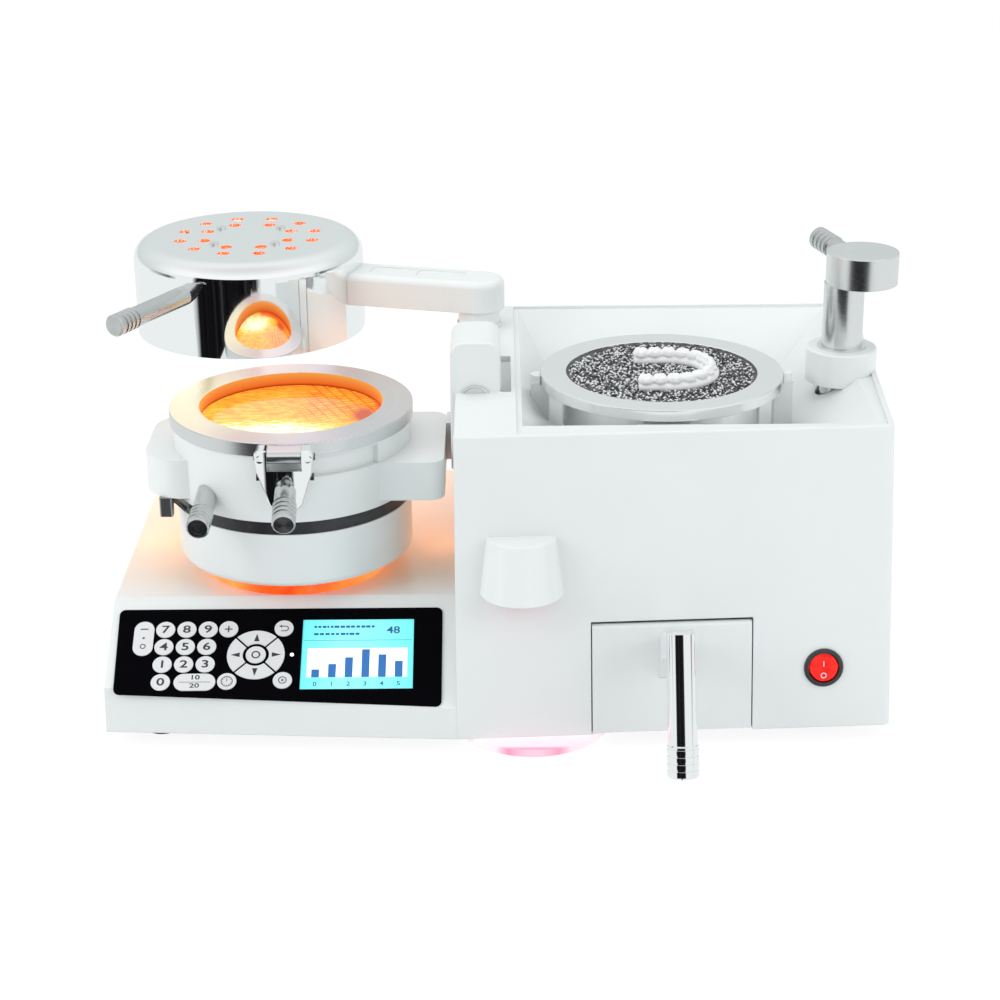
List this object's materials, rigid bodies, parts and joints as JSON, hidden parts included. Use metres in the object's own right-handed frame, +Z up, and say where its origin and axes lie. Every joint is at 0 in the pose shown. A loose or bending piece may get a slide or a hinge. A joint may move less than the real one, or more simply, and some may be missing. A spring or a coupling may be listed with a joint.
{
  "type": "dental pressure former",
  "caption": "Bench machine that heats a round plastic foil under a swing lamp, then turns its pressure chamber over onto a model cup and locks it.",
  "frame": {"origin": "middle of the whole machine's outline, on the table under its feet", "axes": "+X to the machine's right, from the heating side to the cup, +Y from the front to the back, +Z up"},
  "size_m": [0.5226, 0.4419, 0.2861],
  "materials": {
    "shell_white": "gloss white enamel",
    "base_grey": "satin grey paint",
    "foot_rubber": "matt black",
    "seal_rubber": "matt black",
    "panel_black": "gloss black",
    "key_silver": "silver print under clear film",
    "screen_blue": "lit blue display",
    "led_white": "lit",
    "window_glass": "tinted",
    "plate_clear": "gloss white",
    "amber": "translucent amber",
    "steel": "turned and brushed",
    "dark_steel": "dark steel",
    "chrome": "polished chrome",
    "cup_steel": "satin steel",
    "brass": "satin brass",
    "carrier_steel": "plain",
    "tube_quartz": "glowing",
    "foil_clear": "clear foil",
    "seat_white": "white",
    "pellets": "black and white pellets",
    "plaster": "white plaster",
    "switch_grey": "dark grey",
    "switch_red": "lit red"
  },
  "bodies": {
    "machine": {"base_plate": "base_grey", "foot_front_left": "foot_rubber", "foot_front_right": "foot_rubber", "foot_back_left": "foot_rubber", "foot_back_right": "foot_rubber", "console_shell": "shell_white", "control_panel": "panel_black", "number_keys": "key_silver", "function_keys": "key_silver", "direction_keys": "key_silver", "enter_key": "key_silver", "display_screen": "screen_blue", "status_led": "led_white", "housing_shell": "shell_white", "scanner_nose": "shell_white", "scan_window": "window_glass", "scan_plate": "plate_clear", "hinge_cover": "shell_white", "swing_shaft": "steel", "rear_bearing": "steel", "rest_ring": "amber", "hopper_liner": "shell_white", "cup_seat": "seat_white", "column_bush": "dark_steel", "lamp_post": "shell_white", "pull_brackets": "steel", "switch_bezel": "switch_grey", "mains_inlet": "switch_grey", "air_inlet": "steel"},
    "chamber": {"chamber_body": "shell_white", "foil_disc": "foil_clear", "chamber_seal": "seal_rubber", "chamber_dish": "shell_white", "wear_plate": "brass", "lug_catch": "dark_steel", "chamber_grip": "steel", "hub_bush": "brass", "ring_hinge_pin": "steel"},
    "ring": {"clamp_ring": "steel"},
    "lever": {"clamp_lever": "chrome", "lever_pins": "dark_steel", "lever_grip": "steel"},
    "lamp": {"lamp_arm": "shell_white", "lamp_hood": "chrome", "lamp_grip": "steel", "hood_screws": "dark_steel", "tube_carrier": "carrier_steel", "heating_tubes": "tube_quartz"},
    "drawbar": {"pull_yoke": "steel"},
    "column": {"locking_column": "steel", "head_grip": "steel"},
    "pull": {"pull_flap": "shell_white", "pull_arm": "shell_white", "pull_rod": "chrome", "pull_crank": "steel"},
    "rocker": {"switch_rocker": "switch_red"},
    "cup": {"model_cup": "cup_steel", "pellet_fill": "pellets", "tooth_arch": "plaster"}
  },
  "joints": [
    {"name": "chamber_flip", "type": "hinge", "parent": "machine", "child": "chamber", "pos_m": [-0.01522, -0.02584, 0.198], "axis": [0, 1, 0], "range_deg": [0, 180]},
    {"name": "ring_open", "type": "hinge", "parent": "chamber", "child": "ring", "pos_m": [-0.13702, 0.05366, 0.174], "axis": [1, 0, 0], "range_deg": [-40, 0]},
    {"name": "clamp_lever", "type": "hinge", "parent": "ring", "child": "lever", "pos_m": [-0.13402, -0.11384, 0.1825], "axis": [1, 0, 0], "range_deg": [-70, 0]},
    {"name": "lamp_swing", "type": "hinge", "parent": "machine", "child": "lamp", "pos_m": [-0.01372, 0.09366, 0.227], "axis": [0, 0, 1], "range_deg": [0, 58.8]},
    {"name": "pull_lever", "type": "hinge", "parent": "machine", "child": "pull", "pos_m": [0.10678, -0.14117, 0.07318], "axis": [-0.9985, -0.0555, 0], "range_deg": [0, 30]},
    {"name": "column_pull", "type": "slide", "parent": "machine", "child": "drawbar", "axis": [0, 0, -1], "range_m": [0, 0.0012]},
    {"name": "column_turn", "type": "hinge", "parent": "drawbar", "child": "column", "pos_m": [0.22678, -0.00684, 0.241], "axis": [0, 0, 1], "range_deg": [0, 180]},
    {"name": "power_rocker", "type": "hinge", "parent": "machine", "child": "rocker", "pos_m": [0.20313, -0.1448, 0.04974], "axis": [0.9985, 0.0555, 0], "range_deg": [0, 12]},
    {"name": "cup_lift", "type": "slide", "parent": "machine", "child": "cup", "axis": [0, 0, -1], "range_m": [-0.06, 0]}
  ],
  "couplings": [
    {"joint": "column_pull", "follows": "pull_lever", "m_per_rad": 0.002292}
  ]
}
